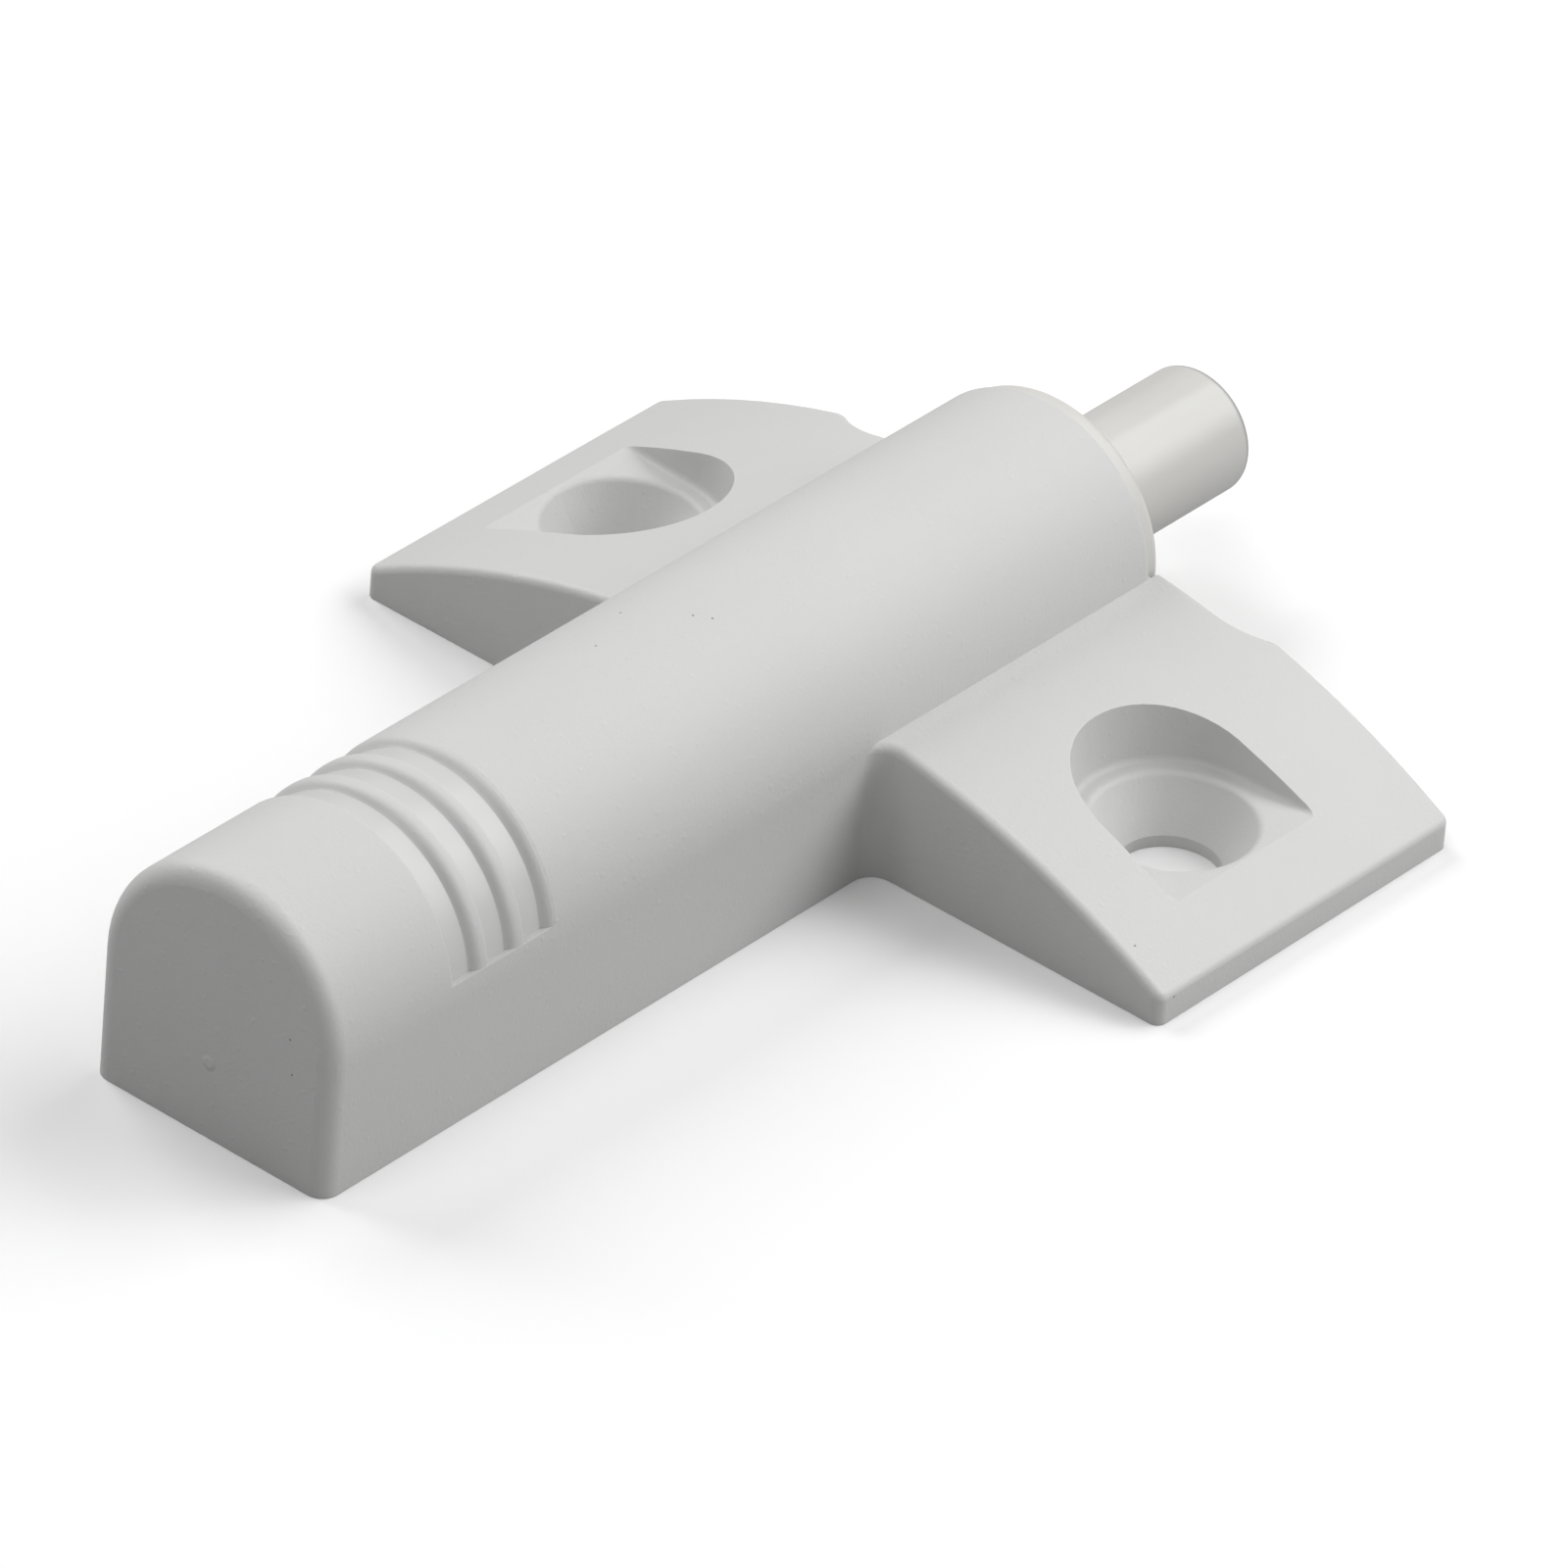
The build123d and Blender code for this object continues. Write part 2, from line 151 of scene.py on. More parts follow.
# %% Keep the bounce from the floor down
paper_path = paper_tree.nodes.new("ShaderNodeLightPath")
paper_mix = paper_tree.nodes.new("ShaderNodeMix")
paper_mix.data_type = "RGBA"
paper_mix.inputs["A"].default_value = FLOOR_BOUNCE
paper_mix.inputs["B"].default_value = FLOOR_COLOUR
paper_tree.links.new(paper_path.outputs["Is Camera Ray"], paper_mix.inputs["Factor"])
paper_tree.links.new(paper_mix.outputs["Result"], paper_skin.inputs["Base Color"])

# %% [markdown]
# The lights
#
# The photograph was taken in soft light from all round, as in a tent of white
# cloth. One big lamp stands for each side of the tent. The far one's long reflection
# lies along the plunger, so it must mirror the camera there. The right one and a
# small low card light the sides, the left one the ends, the near one the tops. Their
# powers were fitted, until each face came close to its brightness in the photograph.

# %% Hang the lights
LAMPS = {
    "far_softbox": dict(azimuth=163, elevation=45, distance=0.6, width=0.44, watts=1.64),
    "right_softbox": dict(azimuth=125, elevation=35, distance=0.6, width=0.4, watts=1.22),
    "left_softbox": dict(azimuth=-90, elevation=40, distance=0.6, width=0.44, watts=2.06),
    "near_softbox": dict(azimuth=0, elevation=60, distance=0.6, width=0.44, watts=1.1),
    "low_card": dict(azimuth=100, elevation=15, distance=0.2, width=0.2, watts=0.075),
}
ROOM_BRIGHTNESS = 0.07


def direction(azimuth, elevation):
    """A unit vector: azimuth 0 points to -Y, 90 to +X, and elevation 90 straight up."""
    a, e = math.radians(azimuth), math.radians(elevation)
    return Vector((math.sin(a) * math.cos(e), -math.cos(a) * math.cos(e), math.sin(e)))


for name, lamp in LAMPS.items():
    data = bpy.data.lights.new(name, "AREA")
    data.shape = "SQUARE"
    data.size = lamp["width"]
    data.energy = lamp["watts"]
    light = bpy.data.objects.new(name, data)
    bpy.context.scene.collection.objects.link(light)
    aim_back = direction(lamp["azimuth"], lamp["elevation"])
    light.location = aim_back * lamp["distance"]
    light.rotation_euler = aim_back.to_track_quat("Z", "Y").to_euler()

world = bpy.data.worlds.new("room")
bpy.context.scene.world = world
world.use_nodes = True
world.node_tree.nodes["Background"].inputs["Color"].default_value = (1, 1, 1, 1)
world.node_tree.nodes["Background"].inputs["Strength"].default_value = ROOM_BRIGHTNESS
bpy.context.scene.view_settings.view_transform = "Standard"
print("lamps:", ", ".join(LAMPS))

# %% [markdown]
# Turned forms
#
# Most pieces of a damper are turned: one profile, carried round the barrel's axis.
# As a surface it has two parameters, the place along the profile and the angle. The
# arrays are worked out whole: every profile point's radius times the cosine and sine
# of every angle. A form that stops short of a full turn gets a flat face at each end.

# %% Turn a profile round the barrel's axis
AXIS_HEIGHT = 6.6 * MM


def join_rings(name, skin):
    """A grid of rings as a closed mesh: each ring joins to the next, and the ends are capped."""
    rings, around, _ = skin.shape
    index = np.arange(rings * around).reshape(rings, around)
    near, far = index[:-1], index[1:]
    quads = np.stack([near, np.roll(near, -1, 1), np.roll(far, -1, 1), far], axis=-1).reshape(-1, 4)
    ends = [index[0][::-1].tolist(), index[-1].tolist()]
    mesh = bpy.data.meshes.new(name)
    mesh.from_pydata(skin.reshape(-1, 3).tolist(), [], quads.tolist() + ends)
    return mesh


def turned_form(name, profile, start, end, steps):
    """x = radius cos(angle), y = along, z = axis + radius sin(angle), for a closed profile."""
    along, radius = np.array(profile).T
    angle = np.linspace(start, end, steps)[:, None]
    x = radius * np.cos(angle)
    z = AXIS_HEIGHT + radius * np.sin(angle)
    skin = np.stack([x, np.broadcast_to(along, x.shape), z], axis=-1)
    return join_rings(name, skin)


# %% [markdown]
# The holder and its grooves
#
# Three grooves run over the barrel near its rear. On the real moulding each groove
# starts at a square edge with a fine rounding, which catches the light as a thin
# line. Then come a level floor, a short steep wall and a nearly level crest up to the
# next edge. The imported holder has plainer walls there, and its mesh is too coarse on
# the narrow crests. So a copy of the holder has its grooves filled with a turned band
# and cut again by a turned tool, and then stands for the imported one. The band and the
# crests stay a hair under the barrel's skin, because surfaces that almost touch cut
# badly, and the tool's last wall runs out a hair above it. Nothing else changes.

# %% Shape the band and the tool
BARREL_RADIUS = 6.65 * MM
GROOVE_DEPTH = 0.364 * MM
GROOVES_REAR = -37.27 * MM
GROOVE_PITCH = 2.29 * MM
GROOVE_COUNT = 3
RIDGE_WIDTH = 0.97 * MM
RISE_POINTS = 20
EDGE_ROUNDING = 0.13 * MM
EDGE_POINTS = 6
CREST_DROP = 0.02 * MM
CREST_OVERSHOOT = 0.012 * MM
LEDGE_HEIGHT = 7.46 * MM
CLEARANCE = 0.4 * MM
TOOL_STEPS = 97


def rising_curve(start, end, count):
    """Height 1 - (1 - u^1.3)^4.5 over the run u: a soft foot, a steep wall, a level crest."""
    u = np.linspace(0, 1, count)
    height = 1 - (1 - u**1.3) ** 4.5
    along = start[0] + (end[0] - start[0]) * u
    return np.column_stack([along, start[1] + (end[1] - start[1]) * height])


def groove_profile():
    """The tool's outline, along the axis and out from it: edge, drop, floor, rise, three times."""
    floor = BARREL_RADIUS - GROOVE_DEPTH
    crest = BARREL_RADIUS - CREST_DROP
    fall = np.linspace(0, math.pi / 2, EDGE_POINTS)
    parts = []
    for index in range(GROOVE_COUNT):
        rear = GROOVES_REAR + index * GROOVE_PITCH
        edge = np.column_stack([
            rear - EDGE_ROUNDING + EDGE_ROUNDING * np.sin(fall),
            crest - EDGE_ROUNDING + EDGE_ROUNDING * np.cos(fall),
        ])
        foot = rear + GROOVE_PITCH - RIDGE_WIDTH
        last = index == GROOVE_COUNT - 1
        summit = (
            rear + GROOVE_PITCH - (0 if last else EDGE_ROUNDING),
            BARREL_RADIUS + CREST_OVERSHOOT if last else crest,
        )
        rise = rising_curve((foot, floor), summit, RISE_POINTS)
        parts += [edge, [(rear, floor)], rise if last else rise[:-1]]
    clear = BARREL_RADIUS + CLEARANCE
    front = parts[-1][-1][0]
    lid = [(front, clear), (GROOVES_REAR - EDGE_ROUNDING, clear)]
    return np.concatenate(parts + [lid])


LEDGE_ANGLE = math.asin((LEDGE_HEIGHT - AXIS_HEIGHT) / BARREL_RADIUS)
groove_tool = turned_form(
    "groove_tool", groove_profile()[::-1], LEDGE_ANGLE, math.pi - LEDGE_ANGLE, TOOL_STEPS
)
BAND_SHY = math.radians(0.4)
BAND_DROP = 0.011 * MM
BAND_REAR = -37.22 * MM
BAND_FRONT = -30.25 * MM
BAND_INSIDE = 5.7 * MM
BAND_STEPS = 90
band_outline = [
    (BAND_REAR, BAND_INSIDE),
    (BAND_REAR, BARREL_RADIUS - BAND_DROP),
    (BAND_FRONT, BARREL_RADIUS - BAND_DROP),
    (BAND_FRONT, BAND_INSIDE),
]
band_start = LEDGE_ANGLE + BAND_SHY
groove_band = turned_form(
    "groove_band", band_outline, band_start, math.pi - band_start, BAND_STEPS
)
print("groove tool", len(groove_tool.polygons), "faces")

# %% [markdown]
# Filling and cutting
#
# Two exact booleans do the work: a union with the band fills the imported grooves, and
# a difference with the tool cuts the new ones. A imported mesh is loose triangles, so
# the copy's corners are joined first, or the cut would find no inside. A modifier
# could stay live, but it is worked out at once here, so that the helpers can go and
# the finished mesh can get its normals back.

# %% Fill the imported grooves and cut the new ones
JOIN_DISTANCE = 0.0005 * MM


def evaluated_mesh(target):
    """The target's mesh as its modifiers leave it."""
    depsgraph = bpy.context.evaluated_depsgraph_get()
    return bpy.data.meshes.new_from_object(target.evaluated_get(depsgraph))


def combine(target, mesh, operation):
    """One exact boolean with a turned form, worked out and kept in the target's mesh."""
    helper = bpy.data.objects.new("helper", mesh)
    bpy.context.scene.collection.objects.link(helper)
    step = target.modifiers.new("step", "BOOLEAN")
    step.operation = operation
    step.solver = "EXACT"
    step.object = helper
    target.data = evaluated_mesh(target)
    target.modifiers.clear()
    bpy.data.objects.remove(helper)


def corner_normals(mesh):
    """One row per face corner: the normal that light sees there."""
    normals = np.empty(len(mesh.loops) * 3)
    mesh.corner_normals.foreach_get("vector", normals)
    return normals.reshape(-1, 3)


def merged_copy(node, name):
    """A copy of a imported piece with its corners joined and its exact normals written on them."""
    source = nodes[node].data.copy()
    exact = source.attributes.new("exact_normal", "FLOAT_VECTOR", "CORNER")
    exact.data.foreach_set("vector", corner_normals(nodes[node].data).ravel())
    if "custom_normal" in source.attributes:
        source.attributes.remove(source.attributes["custom_normal"])
    shape = bmesh.new()
    shape.from_mesh(source)
    bmesh.ops.remove_doubles(shape, verts=shape.verts, dist=JOIN_DISTANCE)
    mesh = bpy.data.meshes.new(name)
    shape.to_mesh(mesh)
    shape.free()
    copy = bpy.data.objects.new(name, mesh)
    bpy.context.scene.collection.objects.link(copy)
    return copy


moulding = merged_copy("holder", "moulding")
print("merged holder", len(moulding.data.polygons), "faces")
combine(moulding, groove_band, "UNION")
combine(moulding, groove_tool, "DIFFERENCE")
print("with new grooves", len(moulding.data.polygons), "faces")

# %% [markdown]
# Light slides over a surface as its normals say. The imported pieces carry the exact
# normals of the curves that they were made from, and joining corners would lose them.
# So the copy had them written on its corners before, and the cutting carried them
# along. The new grooves have none, and take the normals of their own smooth faces.

# %% Give the holder its exact normals back
SHARP_ANGLE = math.radians(32)


def restore_normals(mesh):
    """The written normals where there are any, and the mesh's own ones elsewhere."""
    mesh.shade_smooth()
    mesh.set_sharp_from_angle(angle=SHARP_ANGLE)
    written = np.empty(len(mesh.loops) * 3)
    mesh.attributes["exact_normal"].data.foreach_get("vector", written)
    written = written.reshape(-1, 3)
    length = np.linalg.norm(written, axis=1)
    known = length > 0.5
    normals = corner_normals(mesh)
    normals[known] = written[known] / length[known][:, None]
    mesh.attributes.remove(mesh.attributes["exact_normal"])
    mesh.normals_split_custom_set(normals.tolist())
    return int(known.sum())


restored = restore_normals(moulding.data)
print("corners with their exact normals:", restored, "of", len(moulding.data.loops))
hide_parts("holder")
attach(moulding, "base")

# %% [markdown]
# Helpers for finishes
#
# Every finish is a small graph of nodes, and a few helpers keep the graphs short. The
# first adds a node and sets its values or joins them to other nodes. Others do sums
# on values, or measure from the barrel's axis. One opens a node group with named
# inputs and outputs, so that an effect that several pieces share is built once.

# %% Node helpers
def add(tree, kind, settings=None, **inputs):
    """Add a node; an input is a value, or another node's output to join to it."""
    made = tree.nodes.new(kind)
    for name, value in (settings or {}).items():
        setattr(made, name, value)
    for name, value in inputs.items():
        slot = made.inputs[int(name[1:]) if name[1:].isdigit() else name.replace("_", " ")]
        if isinstance(value, bpy.types.NodeSocket):
            tree.links.new(value, slot)
        else:
            slot.default_value = value
    return made


def maths(tree, operation, first, second=0.0):
    """One sum on two numbers, as a node's output."""
    made = add(tree, "ShaderNodeMath", dict(operation=operation), i0=first, i1=second)
    return made.outputs[0]


def ramp(tree, value, low, high):
    """0 below the low value, 1 above the high one and a straight climb between."""
    made = add(
        tree, "ShaderNodeMapRange", dict(clamp=True), Value=value, From_Min=low, From_Max=high
    )
    return made.outputs[0]


def along_and_out(tree):
    """Two values: where a point is along the barrel's axis, and how far out from it."""
    place_on = add(tree, "ShaderNodeTexCoord").outputs["Object"]
    x, y, z = add(tree, "ShaderNodeSeparateXYZ", Vector=place_on).outputs
    across = maths(tree, "MULTIPLY", x, x)
    above = maths(tree, "SUBTRACT", z, AXIS_HEIGHT)
    above = maths(tree, "MULTIPLY", above, above)
    return y, maths(tree, "SQRT", maths(tree, "ADD", across, above))


def open_group(name, inputs, outputs):
    """A shader node group with its own named sockets."""
    group = bpy.data.node_groups.new(name, "ShaderNodeTree")
    for label, value in inputs.items():
        socket = group.interface.new_socket(label, in_out="INPUT", socket_type="NodeSocketFloat")
        socket.default_value = value
    for label in outputs:
        group.interface.new_socket(label, in_out="OUTPUT", socket_type="NodeSocketFloat")
    return group, group.nodes.new("NodeGroupInput"), group.nodes.new("NodeGroupOutput")


def finish(name):
    """A new material with its node tree and its shader."""
    material = bpy.data.materials.new(name)
    material.use_nodes = True
    return material, material.node_tree, material.node_tree.nodes["Principled BSDF"]


def dress(material, *names):
    """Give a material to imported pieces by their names."""
    for name in names:
        nodes[name].data.materials.clear()
        nodes[name].data.materials.append(material)


# %% [markdown]
# The moulded grain
#
# The mould's steel was eroded by sparks, and its tiny craters print a fine matte
# grain on the plastic. Up close it is a carpet of small bumps, with a few taller
# ones that catch the light. Photographs of grain are often used for this, but a
# noise that is worked out anywhere in space has no seams and no limit. The group
# adds fine noise, coarser noise and rare round bumps.

# %% Build the grain group
COARSE_SIZE = 0.3
COARSE_SHARE = 0.6
BUMP_SHARE = 0.9


def build_grain():
    """Height: fine noise, plus coarse noise, plus rare bumps round scattered points."""
    group, entry, leave = open_group(
        "moulded grain", dict(Grain_size=0.16, Bump_spacing=0.7), ["Height", "Bumps"]
    )
    coords = add(group, "ShaderNodeTexCoord").outputs["Object"]
    fine_scale = maths(group, "DIVIDE", 1 / MM, entry.outputs["Grain_size"])
    fine = add(group, "ShaderNodeTexNoise", Vector=coords, Scale=fine_scale, Detail=2.0)
    coarse_scale = maths(group, "MULTIPLY", fine_scale, COARSE_SIZE)
    coarse = add(group, "ShaderNodeTexNoise", Vector=coords, Scale=coarse_scale, Detail=1.0)
    bump_scale = maths(group, "DIVIDE", 1 / MM, entry.outputs["Bump_spacing"])
    points = add(group, "ShaderNodeTexVoronoi", Vector=coords, Scale=bump_scale)
    near = ramp(group, points.outputs["Distance"], 0.2, 0.05)
    waves = maths(group, "MULTIPLY", coarse.outputs[0], COARSE_SHARE)
    height = maths(group, "ADD", fine.outputs[0], waves)
    height = maths(group, "ADD", height, maths(group, "MULTIPLY", near, BUMP_SHARE))
    group.links.new(height, leave.inputs["Height"])
    group.links.new(near, leave.inputs["Bumps"])
    return group


grain = build_grain()

# %% [markdown]
# Dust and pin marks
#
# Even a new part has a few dark pin points where dust was moulded in, and its grey
# is never quite even. Both are masks: one picks a rare few cells of a scatter and
# keeps a tiny dot in each, and one is a slow cloud.

# %% Build the speck group
CLOUD_SCALE = 90.0


def build_specks():
    """Specks: 1 in a dot at the middle of one cell in many. Cloud: slow noise."""
    values = dict(Speck_spacing=2.4, Speck_size=0.03, Share=0.25)
    group, entry, leave = open_group("specks and cloud", values, ["Specks", "Cloud"])
    coords = add(group, "ShaderNodeTexCoord").outputs["Object"]
    scale = maths(group, "DIVIDE", 1 / MM, entry.outputs["Speck_spacing"])
    cells = add(group, "ShaderNodeTexVoronoi", Vector=coords, Scale=scale)
    dot = maths(group, "LESS_THAN", cells.outputs["Distance"], entry.outputs["Speck_size"])
    pick = add(group, "ShaderNodeSeparateColor", Color=cells.outputs["Color"]).outputs[0]
    chosen = maths(group, "LESS_THAN", pick, entry.outputs["Share"])
    group.links.new(maths(group, "MULTIPLY", dot, chosen), leave.inputs["Specks"])
    cloud = add(group, "ShaderNodeTexNoise", Vector=coords, Scale=CLOUD_SCALE, Detail=3.0)
    group.links.new(cloud.outputs[0], leave.inputs["Cloud"])
    return group


specks = build_specks()


def place(tree, group, **inputs):
    """Put a node group into a material's tree with its own values."""
    made = tree.nodes.new("ShaderNodeGroup")
    made.node_tree = group
    for name, value in inputs.items():
        made.inputs[name].default_value = value
    return made


def tinted(tree, factor, pale, dark):
    """A colour between two, chosen by a factor from 0 to 1."""
    made = add(tree, "ShaderNodeMix", dict(data_type="RGBA"), Factor=factor)
    made.inputs["A"].default_value = (*pale, 1)
    made.inputs["B"].default_value = (*dark, 1)
    return made.outputs["Result"]


def laid_over(tree, factor, under, tone):
    """A tone over another colour, as strong as the factor from 0 to 1."""
    made = add(tree, "ShaderNodeMix", dict(data_type="RGBA"), Factor=factor)
    tree.links.new(under, made.inputs["A"])
    made.inputs["B"].default_value = (*tone, 1)
    return made.outputs["Result"]


# %% [markdown]
# The holder's plastic
#
# The holder is light grey nylon with the grain all over its outside. The floors of
# the three grooves were polished in the mould, so they are smoother. Where that is
# can be said in words: closer to the barrel's axis than its skin, along the grooves'
# stretch. A mask from Object coordinates says the same and needs no second material.
# The few pin points that the photograph shows have places of their own, and so has
# the faint round mark on the rear face, where the plastic was let into the mould.

# %% Finish the holder
HOLDER_GREY = (0.655, 0.655, 0.65)
HOLDER_SHADE = (0.615, 0.615, 0.61)
SPECK_GREY = (0.22, 0.22, 0.21)
PIN_POINTS = [
    (4.48, -45.0, 5.57),
    (4.25, -45.0, 7.27),
    (20.64, -8.28, 2.7),
    (23.0, -8.27, 1.21),
    (0.46, -15.3, 13.23),
    (1.12, -14.76, 13.15),
    (-0.93, -20.09, 13.19),
]
PIN_POINT_RADIUS = 0.07 * MM
GATE_MARK = (-0.14, -45.0, 3.79)
GATE_RADIUS = 0.4 * MM
GATE_RISE = 4.0
GRAIN_HEIGHT = 0.012 * MM
FLOORS_REAR = -38 * MM
FLOORS_FRONT = -30.5 * MM
GRAINED_RADIUS = 6.55 * MM
POLISHED_RADIUS = 6.4 * MM
HOLDER_ROUGHNESS = 0.5


def groove_mask(tree):
    """1 on the groove floors: within the barrel's skin, along the grooves' stretch."""
    along, out = along_and_out(tree)
    within = ramp(tree, out, GRAINED_RADIUS, POLISHED_RADIUS)
    ahead = maths(tree, "LESS_THAN", along, FLOORS_FRONT)
    behind = maths(tree, "GREATER_THAN", along, FLOORS_REAR)
    return maths(tree, "MULTIPLY", within, maths(tree, "MULTIPLY", ahead, behind))


def spot(tree, centre, radius):
    """1 at a point on the piece, falling to 0 at the radius."""
    place_on = add(tree, "ShaderNodeTexCoord").outputs["Object"]
    centre = tuple(value * MM for value in centre)
    gap = add(tree, "ShaderNodeVectorMath", dict(operation="DISTANCE"), i0=place_on, i1=centre)
    return ramp(tree, gap.outputs["Value"], radius, radius * 0.5)


def holder_plastic():
    """Grey from the cloud and the specks, grain as bump, smoother in the grooves."""
    material, tree, skin = finish("holder_plastic")
    marks = place(tree, specks, Share=0.12)
    grey = tinted(tree, marks.outputs["Cloud"], HOLDER_GREY, HOLDER_SHADE)
    dark = marks.outputs["Specks"]
    for point in PIN_POINTS:
        dark = maths(tree, "MAXIMUM", dark, spot(tree, point, PIN_POINT_RADIUS))
    tree.links.new(laid_over(tree, dark, grey, SPECK_GREY), skin.inputs["Base Color"])
    skin.inputs["Subsurface Weight"].default_value = 0.12
    skin.inputs["Subsurface Radius"].default_value = (1, 0.9, 0.8)
    skin.inputs["Subsurface Scale"].default_value = 0.4 * MM
    texture = place(tree, grain, Grain_size=0.16, Bump_spacing=0.75)
    smooth = groove_mask(tree)
    strength = maths(tree, "SUBTRACT", 1.0, maths(tree, "MULTIPLY", smooth, 0.85))
    height = maths(tree, "MULTIPLY", texture.outputs["Height"], strength)
    gate = maths(tree, "MULTIPLY", spot(tree, GATE_MARK, GATE_RADIUS), GATE_RISE)
    height = maths(tree, "ADD", height, gate)
    bump = add(tree, "ShaderNodeBump", Height=height, Strength=1.0, Distance=GRAIN_HEIGHT)
    tree.links.new(bump.outputs["Normal"], skin.inputs["Normal"])
    polish = maths(tree, "MULTIPLY", smooth, 0.18)
    rough = maths(tree, "SUBTRACT", HOLDER_ROUGHNESS, polish)
    glints = maths(tree, "MULTIPLY", texture.outputs["Bumps"], strength)
    rough = maths(tree, "SUBTRACT", rough, maths(tree, "MULTIPLY", glints, 0.1))
    tree.links.new(rough, skin.inputs["Roughness"])
    return material


holder_finish = holder_plastic()
moulding.data.materials.clear()
moulding.data.materials.append(holder_finish)

# %% [markdown]
# The plunger and its sleeve
#
# The plunger slides through the sleeve every day, so it is drawn from a harder,
# glossier plastic with a warmer white. Turning and sliding leave faint streaks
# along it. A noise squeezed along the axis draws them, in the roughness and in a
# bump too fine to see as a shape. The tip's rim, which strikes the door, gets a thin
# darker line round it, painted shade where its rounded edge turns from the light.
# The sleeve is the same kind of plastic, satin.

# %% Finish the plunger and the sleeve
PLUNGER_WHITE = (0.655, 0.65, 0.63)
PLUNGER_SHADE = (0.63, 0.625, 0.605)
SLEEVE_WHITE = (0.68, 0.672, 0.645)
SLEEVE_SHADE = (0.65, 0.642, 0.615)
# Painted shade: the grey of the thin darker line round the plunger tip's rim.
RIM_PAINTED_SHADE = (0.42, 0.42, 0.41)
RIM_START = 20.2 * MM
RIM_FULL = 20.3 * MM
RIM_INSIDE = 2.6 * MM
RIM_OUTSIDE = 2.8 * MM
STREAK_SCALES = (1000.0, 50.0)
STREAK_ROUGHNESS = 0.01


def streaks(tree, across, along):
    """Noise drawn out along Y: the space is squeezed by one scale per direction."""
    coords = add(tree, "ShaderNodeTexCoord").outputs["Object"]
    squeeze = add(tree, "ShaderNodeMapping", Vector=coords)
    squeeze.inputs["Scale"].default_value = (across, along, across)
    noise = add(tree, "ShaderNodeTexNoise", Vector=squeeze.outputs[0], Scale=1.0, Detail=3.0)
    return noise.outputs[0]


def painted_rim_shade_mask(tree):
    """Painted shade: 1 on the rim of the plunger's tip, at its end along Y and away from the axis.
    """
    along, out = along_and_out(tree)
    at_end = ramp(tree, along, RIM_START, RIM_FULL)
    return maths(tree, "MULTIPLY", at_end, ramp(tree, out, RIM_INSIDE, RIM_OUTSIDE))


def sliding_plastic(name, pale, dark, roughness, grain_depth):
    """A smooth plastic with streaks along the axis in its roughness and its bump, and painted shade
    as a thin darker line on the tip's rim.
    """
    material, tree, skin = finish(name)
    marks = place(tree, specks, Speck_spacing=3.0)
    body = tinted(tree, marks.outputs["Cloud"], pale, dark)
    # Painted shade: a thin darker line round the tip's rim, where its rounded edge turns from the
    # light.
    with_painted_rim_shade = laid_over(tree, painted_rim_shade_mask(tree), body, RIM_PAINTED_SHADE)
    tree.links.new(with_painted_rim_shade, skin.inputs["Base Color"])
    drawn = streaks(tree, *STREAK_SCALES)
    rough = add(tree, "ShaderNodeMapRange", Value=drawn)
    rough.inputs["To Min"].default_value = roughness - STREAK_ROUGHNESS
    rough.inputs["To Max"].default_value = roughness + STREAK_ROUGHNESS
    tree.links.new(rough.outputs[0], skin.inputs["Roughness"])
    skin.inputs["Subsurface Weight"].default_value = 0.15
    skin.inputs["Subsurface Radius"].default_value = (1, 0.9, 0.8)
    skin.inputs["Subsurface Scale"].default_value = 0.5 * MM
    bump = add(tree, "ShaderNodeBump", Height=drawn, Strength=1.0, Distance=grain_depth)
    tree.links.new(bump.outputs["Normal"], skin.inputs["Normal"])
    return material


dress(
    sliding_plastic("plunger_plastic", PLUNGER_WHITE, PLUNGER_SHADE, 0.29, 0.00005 * MM),
    "plunger",
)
dress(
    sliding_plastic("sleeve_plastic", SLEEVE_WHITE, SLEEVE_SHADE, 0.4, 0.003 * MM),
    "guide_sleeve",
    "rear_plug",
)
dress(
    sliding_plastic("bearing_plastic", PLUNGER_WHITE, SLEEVE_SHADE, 0.38, 0.002 * MM),
    "piston",
    "cylinder_cap",
    "rod_guide",
    "foam_washer",
)

# %% [markdown]
# Steel, rubber and foam inside
#
# Nobody sees these pieces while the damper is whole, but each still looks like what
# it is once the model is taken apart. The rod is ground and polished, the spring
# wire is drawn, the seals are matte black rubber and the foam is a mass of
# small closed cells, which a scatter of cells with raised rims stands for.

# %% Finish the inner pieces
def drawn_steel(name, tone, roughness, along):
    """Bare steel with fine lines along or round the piece in its roughness."""
    material, tree, skin = finish(name)
    lines = streaks(tree, *along)
    shade = tuple(part * 0.85 for part in tone)
    skin.inputs["Metallic"].default_value = 1.0
    tree.links.new(tinted(tree, lines, tone, shade), skin.inputs["Base Color"])
    rough = add(tree, "ShaderNodeMapRange", Value=lines)
    rough.inputs["To Min"].default_value = roughness * 0.7
    rough.inputs["To Max"].default_value = roughness * 1.5
    tree.links.new(rough.outputs[0], skin.inputs["Roughness"])
    return material


def soft_black(name, tone, roughness, cell, depth):
    """Rubber or foam: a scatter of cells gives both the shade and the raised rims."""
    material, tree, skin = finish(name)
    coords = add(tree, "ShaderNodeTexCoord").outputs["Object"]
    cells = add(tree, "ShaderNodeTexVoronoi", Vector=coords, Scale=1 / cell).outputs["Distance"]
    rims = tuple(part * 1.7 for part in tone)
    tree.links.new(tinted(tree, cells, tone, rims), skin.inputs["Base Color"])
    skin.inputs["Roughness"].default_value = roughness
    bump = add(tree, "ShaderNodeBump", Height=cells, Strength=1.0, Distance=depth)
    tree.links.new(bump.outputs["Normal"], skin.inputs["Normal"])
    return material


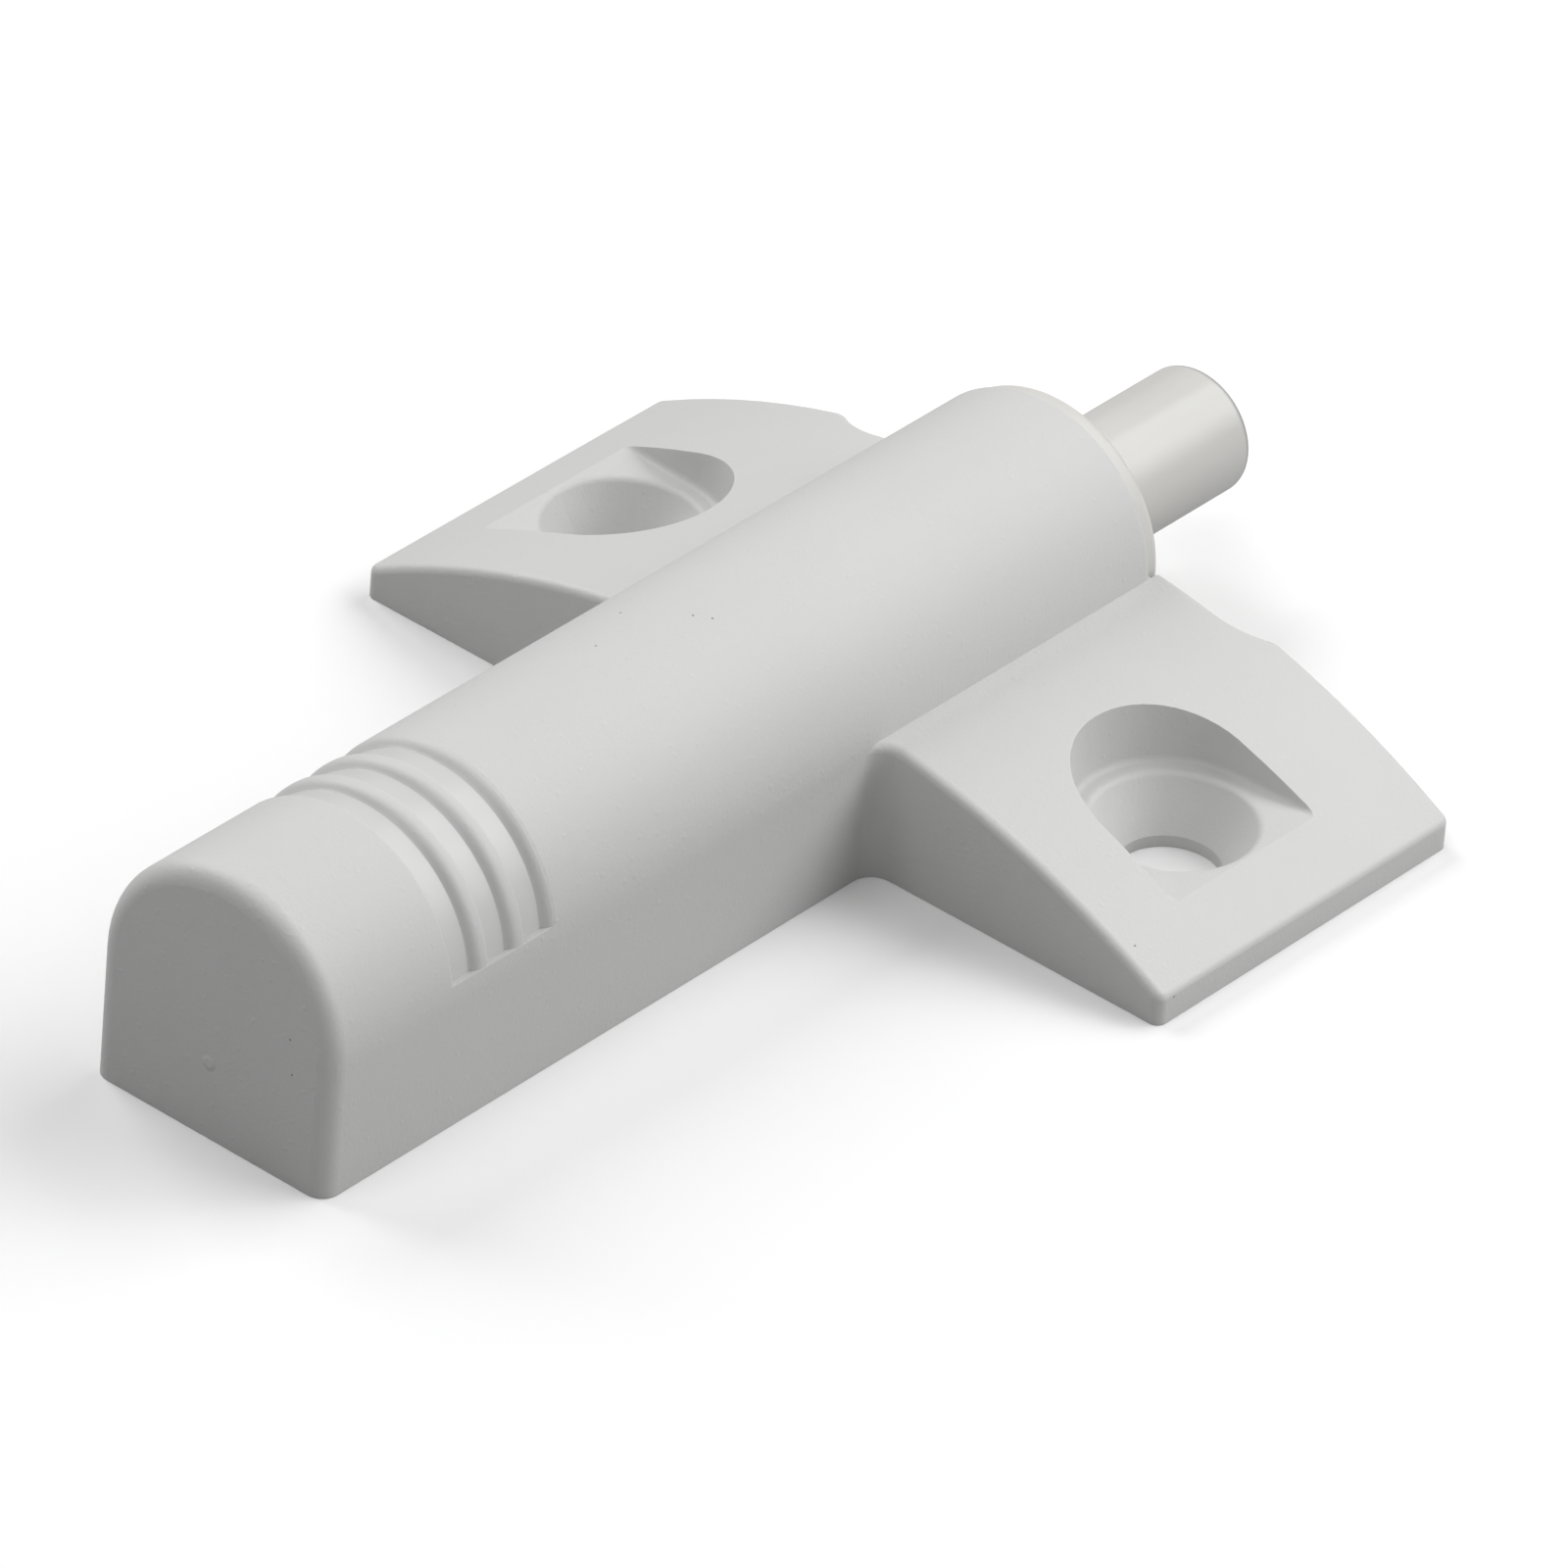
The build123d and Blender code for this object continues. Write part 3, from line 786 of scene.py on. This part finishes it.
ROD_STEEL = (0.62, 0.62, 0.63)
SPRING_STEEL = (0.5, 0.5, 0.51)
dress(drawn_steel("rod_steel", ROD_STEEL, 0.16, (300.0, 9000.0)), "piston_rod", "spring_washer")
spring_finish = drawn_steel("spring_steel", SPRING_STEEL, 0.3, (5000.0, 5000.0))
dress(spring_finish, "piston_clip", "return_spring")
dress(
    soft_black("seal_rubber", (0.022, 0.022, 0.023), 0.6, 0.12 * MM, 0.004 * MM),
    "piston_seal",
    "rod_seal",
    "cap_seal",
)
dress(
    soft_black("foam_rubber", (0.06, 0.06, 0.065), 0.85, 0.3 * MM, 0.05 * MM),
    "compensating_foam",
)

# %% [markdown]
# The return spring
#
# The imported model's spring is stiff, so it can't shorten when the plunger goes in.
# The real one is a wire wound round the rod, with a closed turn at each end that is
# ground flat. As a surface it has two parameters: how far along the wire, and where
# round it. One function gives the wire's middle line and another wraps the round
# skin about it.

# %% Wind the spring
SPRING_LOW, SPRING_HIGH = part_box("return_spring")
WIRE_RADIUS = 0.25 * MM
COIL_RADIUS = 3.1 * MM
ACTIVE_TURNS = 11
CLOSED_TURNS = 1
STEPS_PER_TURN = 48
STEPS_ROUND_WIRE = 14
CLOSED_CLIMB = 0.12
CLOSED_SHARE = 0.6
GROUND_SHARE = 0.6


def coil_line(turns):
    """Middle line: a circle in x and z, climbing in y by a smooth S at the two ends.

    The climb per turn is one wire thickness in the closed turns and the full pitch
    between them; y is the running sum of that climb.
    """
    count = int(turns * STEPS_PER_TURN) + 1
    turn_at = np.linspace(0, turns, count)
    ends = np.minimum(turn_at, turns - turn_at) / CLOSED_TURNS
    climb = CLOSED_CLIMB + np.clip(ends - CLOSED_SHARE, 0, 1) ** 1.5
    run = np.concatenate([[0], np.cumsum((climb[1:] + climb[:-1]) / 2)])
    start = SPRING_LOW.y + WIRE_RADIUS * GROUND_SHARE
    finish_at = SPRING_HIGH.y - WIRE_RADIUS * GROUND_SHARE
    y = start + (finish_at - start) * run / run[-1]
    angle = 2 * math.pi * turn_at
    x = COIL_RADIUS * np.sin(angle)
    z = AXIS_HEIGHT + COIL_RADIUS * np.cos(angle)
    return np.column_stack([x, y, z])


def wire_skin(line, radius, around):
    """Round skin: the line plus the radius times cos and sin of two cross directions."""
    along = np.gradient(line, axis=0)
    along /= np.linalg.norm(along, axis=1)[:, None]
    outward = line - [0, 0, AXIS_HEIGHT]
    outward[:, 1] = 0
    outward -= along * np.sum(outward * along, axis=1)[:, None]
    outward /= np.linalg.norm(outward, axis=1)[:, None]
    sideways = np.cross(along, outward)
    angle = np.linspace(0, 2 * math.pi, around, endpoint=False)[None, :, None]
    ring = np.cos(angle) * outward[:, None] + np.sin(angle) * sideways[:, None]
    return line[:, None] + radius * ring


wire_line = coil_line(ACTIVE_TURNS + 2 * CLOSED_TURNS)
wire = wire_skin(wire_line, WIRE_RADIUS, STEPS_ROUND_WIRE)
wire[:, :, 1] = np.clip(wire[:, :, 1], SPRING_LOW.y, SPRING_HIGH.y)
coil = bpy.data.objects.new("coil", join_rings("coil", wire))
coil.data.shade_smooth()
bpy.context.scene.collection.objects.link(coil)
coil.data.materials.append(spring_finish)
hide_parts("return_spring")
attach(coil, "base")
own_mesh(coil)
